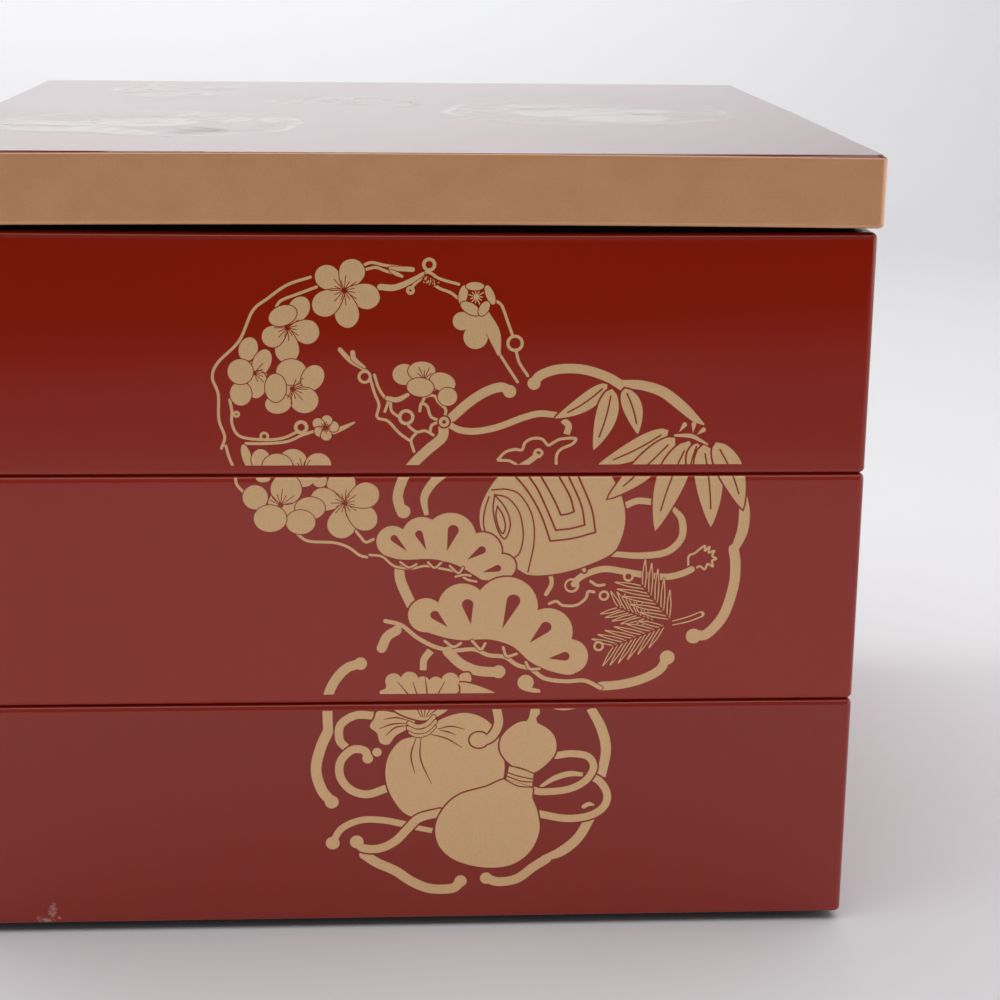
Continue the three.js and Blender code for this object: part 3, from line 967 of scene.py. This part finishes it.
# Broken ring with a tied treasure bag and a gourd
treasure = {
    "arcs": [
        ([(-8.4, 61.2), (-11.2, 60.2), (-13.6, 57.6), (-15.2, 54), (-15.4, 50), (-15.3, 46)], 2.1,
         (0.1, 0, 1.4)),
        ([(-3.8, 64.6), (-2.6, 67.2), (-0.6, 68.6)], 2.1, (0.0, 0.1, 1.05)),
        ([(6.6, 64, 1.6), (5.2, 62, 1.5), (5, 59.6, 1.4)], 1.5, None),
        ([(20.9, 59), (16.5, 59.4), (13, 61), (10.2, 63.8)], 2.2, (0.2, 0.1, 1.45)),
        ([(-14.7, 29.6), (-16.9, 32.6), (-18, 37.2), (-17, 42), (-15.4, 45.8)], 2.3, (0, 0, 1.5)),
        ([(-5.6, 49.4), (-9.4, 49.5), (-12.6, 47.4), (-12.9, 44), (-11.6, 42.2)], 1.8, None),
        ([(-14.6, 20.2), (-12.6, 23.4), (-8.4, 25.3), (-3.6, 25.2), (1, 24.2)], 1.5, (0, -0.2, 1.5)),
        ([(3.4, 23.4), (7, 22.6)], 1.2, None),
        ([(13.2, 10.6), (11.4, 8.9), (6.6, 8.9), (2.6, 10.6), (-1, 13.2), (-5, 15.2), (-7.8, 17.2)], 2.2,
         (0, 0, 1.35)),
        ([(18.8, 11.2), (21.6, 10.3), (25.6, 11), (29, 13.6), (32, 15.6)], 2.1, (0, 0, 1.35)),
        ([(31, 15.6, 1.2), (35.2, 17.3, 2.2), (38.9, 20.6, 2.2), (41.6, 25.6, 2.1)], 2.2, None),
        ([(41, 50.6, 1.9), (43.4, 46, 2.2), (44.5, 41, 2.2), (43.6, 34.8, 2.0)], 2.2, None),
    ],
    "curl": ([(-6.9, 39.8), (-7.6, 41.4), (-10.2, 41.6), (-12.7, 39), (-12.8, 35.4), (-10.6, 32.4),
              (-7, 31.3), (-3, 32.6)], 1.8, (0, -0.2, 1.15)),
    "crest": [(31, 51.4), (35.2, 50.2), (39.8, 51.4), (35.2, 52.4)],
    "stub": (26.9, 56.6, 1.75),
    "stubFoot": ([(26.9, 55.2), (29.6, 54.6)], 1.0),
    "bead": (-4.9, 41, 1.0),
    "loops": [
        ([(30.6, 32.7, 0.7), (33.4, 34.5, 1.2), (36.6, 35.5, 1.3), (40, 35.3, 0.8)], 1.2),
        ([(40.8, 35.2), (43.4, 33.6), (45, 30.6), (44.2, 27.6), (41, 25.6), (36, 25.1), (30.4, 26.2)], 1.7),
        ([(33.8, 39.8), (37, 40.2), (40.6, 39.5), (41.9, 37), (40.2, 33.9), (36.4, 31.9), (31, 31.4),
          (28.6, 31.9)], 1.6),
        ([(39.9, 27.8, 0.9), (41, 28.4, 1.0), (42, 28.2, 0.5)], 1.0),
    ],
    "ribbon": [(-9.2, 20.2), (-8, 18.7), (-4.4, 18.6), (-1, 20.3), (1.8, 23.3), (4.2, 25.6), (8.6, 26.8)],
    "ribbonEnd": (1.9, (-0.2, 0, 1.5)),      # its width, and the knob
    "bag": [(4.4, 44.9), (0.2, 43.6), (-2.6, 39.6), (-3, 34.4), (-1.2, 29.6), (2.2, 26.1), (9, 25.4),
            (19, 28), (22.4, 35), (21.9, 42), (19.4, 47.4), (14.4, 49.8), (8.8, 48.4)],
    "creases": [[(3.5, 44.2), (2.4, 40.2), (3.2, 36.1)], [(4.5, 44.2), (4.5, 39.2), (6.8, 33.6)],
                [(6.6, 45), (10, 44), (13.4, 41.9)], [(8.2, 46.2), (11, 46.8), (13.8, 46.1)],
                [(8.6, 45.9), (10.4, 45.5), (12, 44.8)]],
    "swirl": ([(20.6, 51.5), (21.2, 47.4), (19.8, 44.4), (17.6, 43.2)], 1.9),
    "swirlEnd": (17, 43.6, 2.0, 1.75),
    "frill": [(3.6, 48.4), (-1, 50.4), (-3.8, 53.6), (-4.2, 54.9), (-3.0, 55.6), (-2.8, 57),
              (-1.4, 57.4), (2, 57.8), (4.8, 57), (7.6, 57), (10.8, 57.4), (12.5, 56), (12.3, 53.6),
              (10.6, 50.8), (7, 48.6)],
    "frillLobes": [(-1.3, 57.2, 1.75), (2.1, 57.4, 1.9), (4.9, 56.6, 1.6), (7.7, 56.5, 1.6),
                   (10.8, 57.1, 1.9)],
    "frillFolds": [[(4.6, 49), (2.6, 53), (-0.4, 57)], [(4.9, 49), (4, 53), (2.8, 57)],
                   [(5.2, 49), (5.8, 54), (5.4, 58)], [(5.6, 49), (7.6, 53), (9.6, 57)],
                   [(5.9, 49), (9.4, 52), (12.6, 54.6)]],
    "frillEnds": [[(12.8, 58.4), (14.8, 58.9), (15.2, 57), (13.2, 56)],
                  [(12.4, 56.6), (16, 56.2), (20.4, 54), (12, 54)]],
    "tail": [(3, 48.4), (-1, 50), (-4.6, 50.4), (-5.4, 48.8), (-6.4, 46.9), (-4.9, 45.4), (-4.2, 43.2),
             (-2.4, 42.8), (-0.8, 44.8), (2.4, 46.8)],
    "tailFolds": [[(2, 48.2), (-0.8, 48.9), (-3.4, 48.5)], [(1.6, 47.6), (-1.6, 47.4), (-4.4, 46.4)],
                  [(1.8, 47.1), (-1, 46.6), (-3, 44.8)]],
    "ties": [[(2.3, 45.5), (3.8, 44.8), (5.7, 45.2), (7.3, 46.7)],
             [(1.9, 46.5), (3.5, 45.7), (5.6, 46), (7.6, 47.9)],
             [(2, 47.6), (3.7, 46.8), (5.7, 47.3), (7.3, 49)]],
    "tieWidth": 0.85,
    "gourd": [(23, 34.4), (18.6, 32.7), (13, 31), (9.6, 28), (7.7, 23.6), (8.5, 19), (12, 15.6), (18, 13.8),
              (24, 14.2), (28.2, 17.2), (30.3, 22), (29.9, 26.6), (28.7, 30), (28.3, 32.8)],
    "gourdTop": [(27.6, 36.2), (24, 37.8), (21.7, 40.8), (21.8, 44), (24, 46.6), (26.8, 47.8), (30.6, 46.8),
                 (33.3, 44.2), (33.6, 40.6), (31.6, 37.8), (29.2, 36)],
    "stalk": [(29, 49.9, 2.2), (28.5, 48.5, 1.6), (28.3, 46.8, 3.2)],
    "neck": [(23.6, 37.5), (28.9, 35.8), (28.6, 32.7), (23, 34.4)],
    "neckGap": 0.1,
    "neckLine": 0.3,
    "neckLines": [[(23.2, 37.6), (26, 37), (29.2, 35.6)], [(23.2, 36), (26, 35), (28.8, 34.4)],
                  [(23, 35.2), (26, 34), (28.7, 33.7)], [(22.8, 34.3), (25.6, 32.8), (28.6, 32.5)]],
}


def layClosed(picture, points, gap=0.0):
    layGold(picture, smooth(points, closed=True), gap)


def treasurePicture(picture):
    gap, fold = inkLook["gap"], inkLook["fold"]
    for points, width, knob in treasure["arcs"]:
        knobbedLine(picture, points, width, knob)
    knobbedLine(picture, *treasure["curl"], gap)
    layClosed(picture, treasure["crest"])
    layGold(picture, oval(*treasure["stub"]))
    layGold(picture, stroke(*treasure["stubFoot"]))
    layGold(picture, oval(*treasure["bead"]))
    for points, width in treasure["loops"]:
        layGold(picture, stroke(points, width), gap)
    for points in (treasure["tail"], *treasure["frillEnds"], treasure["frill"]):
        layClosed(picture, points, gap)
    for lobe in treasure["frillLobes"]:
        layGold(picture, oval(*lobe))
    layClosed(picture, treasure["bag"], gap)
    for points in treasure["creases"] + treasure["tailFolds"] + treasure["frillFolds"]:
        # a fold swells and runs out
        layBare(picture, stroke([(*point, share * fold) for point, share in zip(points, (0.5, 1, 0.4))]))
    for points in treasure["ties"]:
        layGold(picture, stroke(points, treasure["tieWidth"]), inkLook["tieGap"])
    # what is laid a second time closes the bare line that the piece after it has cut
    layGold(picture, stroke(*treasure["swirl"]), gap)
    layGold(picture, oval(*treasure["swirlEnd"]), gap)
    layGold(picture, stroke(*treasure["swirl"]))
    knobbedLine(picture, treasure["ribbon"], *treasure["ribbonEnd"], gap)
    layClosed(picture, treasure["gourd"], gap)
    layGold(picture, stroke(treasure["stalk"]), gap)
    layClosed(picture, treasure["gourdTop"], gap)
    layGold(picture, stroke(treasure["stalk"]))
    layGold(picture, np.array(treasure["neck"]), treasure["neckGap"])
    for points in treasure["neckLines"]:
        layBare(picture, stroke(points, treasure["neckLine"]))


# the places were read with an earlier fit of the camera, and this moves them to suit the last one
pictureFit = {"shift": (-0.24, 0.23), "stretch": (0.9998, 0.9977), "lean": -0.0016}


def fittedPicture(picture):
    wide, tall = pictureFit["stretch"]
    change = np.array([[wide, 0.0], [pictureFit["lean"], tall]])
    return [(outline @ change + pictureFit["shift"], isGold) for outline, isGold in picture]


drawing = []
plumRingPicture(drawing)
brokenRingPicture(drawing)
treasurePicture(drawing)
frontPicture = fittedPicture(drawing)


# Printing. The picture becomes thin closed plates of gold that stand just proud.

printLook = {
    "raised": 0.04,         # above the lacquer
    "sunk": 0.05,           # into it, so that no gap shows
    "lowerMargin": 2.1,     # the print stops this far above a tray's lower edge
    "upperMargin": {"bottom_tier": 1.5, "middle_tier": 0.5, "top_tier": 1.5},    # and below its rim
    "bendStep": 0.15,       # height of a facet where the print bends over an edge
    "lastBend": 0.05,       # no facet starts nearer the print's end than this
    "steepest": 0.98,       # sine of the steepest lean that the print follows
    "past": 1.0,            # how far a cut runs past the picture on both sides
    "merge": 0.00001,       # corners nearer than this become one
    "leastArea": 0.0000001,
}


def insideOutline(points, outline):
    # the winding number of the outline round each point is not zero
    x, z = points[:, :1], points[:, 1:]
    ax, az = outline[:, 0], outline[:, 1]
    bx, bz = np.roll(ax, -1), np.roll(az, -1)
    left = (bx - ax) * (z - az) - (x - ax) * (bz - az)
    upward = (az <= z) & (bz > z) & (left > 0)
    downward = (az > z) & (bz <= z) & (left < 0)
    return (upward.sum(1) - downward.sum(1)) != 0


def goldTriangles(picture, low, high, cuts=()):
    # triangles of the gold that shows between two heights, cut at others too
    shapes = [(outline, isGold) for outline, isGold in picture
              if outline[:, 1].max() > low and outline[:, 1].min() < high]
    spots, edges = [], []
    for outline, isGold in shapes:
        first, count = len(spots), len(outline)
        spots += [Vector(spot) for spot in outline]
        edges += [(first + i, first + (i + 1) % count) for i in range(count)]
    across = [min(spot.x for spot in spots) - printLook["past"],
              max(spot.x for spot in spots) + printLook["past"]]
    for height in (low, high, *cuts):
        edges.append((len(spots), len(spots) + 1))
        spots += [Vector((x, height)) for x in across]
    meshed = delaunay_2d_cdt(spots, edges, [], 0, printLook["merge"])
    spots, faces = [np.array([tuple(row) for row in rows]) for rows in (meshed[0], meshed[2])]
    centres = spots[faces].mean(1)
    isGoldFace = np.zeros(len(faces), bool)
    for outline, isGold in shapes:
        (x0, z0), (x1, z1) = outline.min(0), outline.max(0)
        near = np.flatnonzero((centres[:, 0] >= x0) & (centres[:, 0] <= x1)
                              & (centres[:, 1] >= z0) & (centres[:, 1] <= z1))
        isGoldFace[near[insideOutline(centres[near], outline)]] = isGold
    a, b, c = spots[faces].transpose(1, 0, 2)
    area = np.cross(b - a, c - a) / 2
    kept = (isGoldFace & (centres[:, 1] > low) & (centres[:, 1] < high)
            & (np.abs(area) > printLook["leastArea"]))
    faces = np.where((area < 0)[:, None], faces[:, ::-1], faces)[kept]
    return spots, faces


def partTouching(spots, faces):
    # patches that meet only at a point get a corner each there, so that every plate is clean
    parent = list(range(3 * len(faces)))

    def root(k):
        while parent[k] != k:
            parent[k] = parent[parent[k]]
            k = parent[k]
        return k

    sides = {}
    for t, face in enumerate(faces.tolist()):
        for c in range(3):
            n = (c + 1) % 3
            sides[face[c], face[n]] = (3 * t + c, 3 * t + n)
            neighbour = sides.get((face[n], face[c]))
            if neighbour:
                parent[root(3 * t + c)] = root(neighbour[1])
                parent[root(3 * t + n)] = root(neighbour[0])
    roots = [root(k) for k in range(3 * len(faces))]
    kept, places = np.unique(roots, return_inverse=True)
    return spots[faces.ravel()[kept]], places.reshape(-1, 3)


def goldPlate(name, ink, raised, faces, points, normals):
    # points are where the lacquer's surface is, and normals face out of it
    count = len(points)
    front = points + normals * raised
    back = points - normals * printLook["sunk"]
    rows = faces.tolist()
    ways = {(row[c], row[(c + 1) % 3]) for row in rows for c in range(3)}
    rims = [(b, a, a + count, b + count) for a, b in sorted(ways) if (b, a) not in ways]
    backs = [[c + count, b + count, a + count] for a, b, c in rows]
    piece = meshPiece(name, (np.vstack([front, back]) * mm).tolist(), rows + backs + rims, [ink])
    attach(piece, "root")
    return piece


def printOnFront(node):
    low, high = nodeBox(node)
    bend = high[2] - tray["rimRound"]
    foot = low[2] + tray["footDrop"] + printLook["lowerMargin"]
    top = high[2] - printLook["upperMargin"][node]
    cuts = np.arange(bend, top - printLook["lastBend"], printLook["bendStep"])
    spots, faces = partTouching(*goldTriangles(frontPicture, foot, top, cuts))
    lean = np.arcsin(np.clip((spots[:, 1] - bend) / tray["rimRound"], 0, printLook["steepest"]))
    normals = np.column_stack([0 * lean, -np.cos(lean), np.sin(lean)])
    inset = tray["rimRound"] * (1 - np.cos(lean))
    points = np.column_stack([spots[:, 0], inset - trayOuter, spots[:, 1]])
    return goldPlate("gold_print_" + node, gold, printLook["raised"], faces, points, normals)


# The lid's top carries roundels like those on the front, which the photo only hints at
lidPrint = {
    # which picture, its middle and half its width, and where it lies: middle, radius and turn
    "roundels": [(brokenRingPicture, (36, 90), 37, (-55, -36), 33, 0),
                 (plumRingPicture, (-8, 116), 34, (-55, 64), 26, 20),
                 (plumRingPicture, (-8, 116), 34, (-14, 26), 20, -60),
                 (treasurePicture, (14, 39), 32, (47, 0), 35, 0)],
    "edge": 92,             # no print reaches nearer the lid's edges than this
    "raised": 0.008,        # under the clear coat, so it hardly stands up
}


def lidPicture():
    whole = []
    for picture, middle, half, place, radius, turn in lidPrint["roundels"]:
        roundel = []
        picture(roundel)
        whole += [(turned((outline - middle) * radius / half, *place, turn), isGold)
                  for outline, isGold in roundel]
    return whole


def printOnLid():
    top = nodeBox("lid")[1][2]
    spots, faces = partTouching(*goldTriangles(lidPicture(), -lidPrint["edge"], lidPrint["edge"]))
    points = np.column_stack([spots, np.full(len(spots), top)])
    normals = np.tile((0.0, 0.0, 1.0), (len(spots), 1))
    return goldPlate("gold_print_lid", lidShadedGold, lidPrint["raised"], faces, points, normals)


plates = [printOnFront(node) for node in trayNodes] + [printOnLid()]
for plate in plates:
    print(plate.name, len(plate.data.polygons), "faces")


# Stage: a pale seamless paper, and soft light from behind and above. Its places are in metres.

stageLook = {
    "paper": "#e4e4e6",
    "paperWidth": 5.0,
    "paperFront": -2.4,
    "bendStart": 1.1,       # where the paper starts to curve up behind
    "bendRadius": 0.9,
    "bendSteps": 24,
    "paperTop": 3.0,
    "drop": 0.00002,        # keeps the paper just clear of the feet
    "roughness": 0.85,
    "specular": 0.2,
    "room": "#7b7b7d",      # light from all round
}
lampLook = {
    # a spot that reaches the floor behind the box only, so that the box stands in soft shade
    "rear": {"kind": "SPOT", "place": (-0.5, 0.45, 1.6), "aim": (0.037, 1.54, 0.0), "power": 15.0,
             "settings": {"spot_size": radians(91.5), "spot_blend": 0.045, "shadow_soft_size": 0.02}},
    # a softbox that brightens the paper out of sight above the box, which the lid reflects
    "wash": {"kind": "AREA", "place": (-0.32, 1.35, 1.0), "aim": (-0.32, 2.0, 0.72), "power": 8.9,
             "settings": {"shape": "RECTANGLE", "size": 1.8, "size_y": 0.3}},
    # a tall softbox at the right, which draws the highlight down the right corners
    "right": {"kind": "AREA", "place": (1.25, 0.1, 0.6), "aim": (0.2, 0.0, 0.1), "power": 2.0,
              "settings": {"shape": "RECTANGLE", "size": 1.0, "size_y": 1.2}},
    # a low, wide glow at the right, seen only in reflections
    "edge": {"kind": "AREA", "place": (0.95, 0.05, 0.16), "aim": (0.0, 0.05, 0.12), "power": 1.6,
             "settings": {"shape": "RECTANGLE", "size": 1.4, "size_y": 0.4}, "reflectedOnly": True},
    # a large softbox overhead, which leaves the foot of the box in shade
    "top": {"kind": "AREA", "place": (-0.15, 0.0, 1.3), "aim": (-0.15, -0.02, 0.0), "power": 23.0,
            "settings": {"shape": "RECTANGLE", "size": 2.4, "size_y": 2.0}},
}
# cards on the floor in front, out of sight: what the upper tray reflects
flagLook = {
    "cards": {
        # colour, height and corners
        "grey": ("#a0a0a2", 0.003, [(-1.2, -0.505), (-1.2, -2.2), (1.2, -2.2), (1.2, -0.505)]),
        "black": ("#0c0c0c", 0.005, [(-1.2, -0.49), (-1.2, -2.2), (1.2, -2.2), (1.2, -0.96)]),
    },
    "roughness": 0.9,
    "specular": 0.1,
}
cameraLook = {
    "place": (-0.0054627, -0.528825, 0.2129017),
    "turn": (74.99895, -0.64213, -3.2896),
    "lens": 77.1625,
    "nearest": 0.01,
}


def matte(name, colour, look):
    return finishMaterial(newMaterial(name), {
        "Base Color": linearColour(colour), "Roughness": look["roughness"],
        "Specular IOR Level": look["specular"]})


def paperSweep():
    look = stageLook
    profile = [(look["paperFront"], 0.0), (look["bendStart"], 0.0)]
    for step in range(1, look["bendSteps"] + 1):
        angle = step / look["bendSteps"] * pi / 2
        profile.append((look["bendStart"] + look["bendRadius"] * sin(angle),
                        look["bendRadius"] * (1 - cos(angle))))
    profile.append((look["bendStart"] + look["bendRadius"], look["paperTop"]))
    half = look["paperWidth"] / 2
    vertices = [(x, y, z - look["drop"]) for y, z in profile for x in (-half, half)]
    faces = [(2 * i, 2 * i + 1, 2 * i + 3, 2 * i + 2) for i in range(len(profile) - 1)]
    sweep = meshPiece("paper_sweep", vertices, faces, [matte("matte_paper", look["paper"], look)])
    for polygon in sweep.data.polygons:
        polygon.use_smooth = True


def flag(name):
    colour, height, corners = flagLook["cards"][name]
    card = meshPiece("flag_" + name, [(x, y, height) for x, y in corners], [(0, 1, 2, 3)],
                     [matte("card_" + name, colour, flagLook)])
    card.visible_camera = False
    card.visible_shadow = False


def lamp(name):
    look = lampLook[name]
    light = bpy.data.lights.new("lamp_" + name, look["kind"])
    light.energy = look["power"]
    for key, value in look["settings"].items():
        setattr(light, key, value)
    stand = bpy.data.objects.new("lamp_" + name, light)
    stand.location = look["place"]
    aim = Vector(look["aim"]) - Vector(look["place"])
    stand.rotation_euler = aim.to_track_quat("-Z", "Y").to_euler()
    stand.visible_diffuse = not look.get("reflectedOnly", False)
    bpy.context.scene.collection.objects.link(stand)


def room():
    world = bpy.data.worlds.new("studio")
    world.use_nodes = True
    world.node_tree.nodes["Background"].inputs["Color"].default_value = linearColour(stageLook["room"])
    bpy.context.scene.world = world


def camera():
    lens = bpy.data.cameras.new("camera")
    lens.lens = cameraLook["lens"]
    lens.clip_start = cameraLook["nearest"]
    seat = bpy.data.objects.new("camera", lens)
    seat.location = cameraLook["place"]
    seat.rotation_euler = [radians(a) for a in cameraLook["turn"]]
    bpy.context.scene.collection.objects.link(seat)
    bpy.context.scene.camera = seat


paperSweep()
for name in flagLook["cards"]:
    flag(name)
for name in lampLook:
    lamp(name)
room()
camera()
bpy.context.scene.view_settings.view_transform = "Standard"
print("stage, lights and camera set")
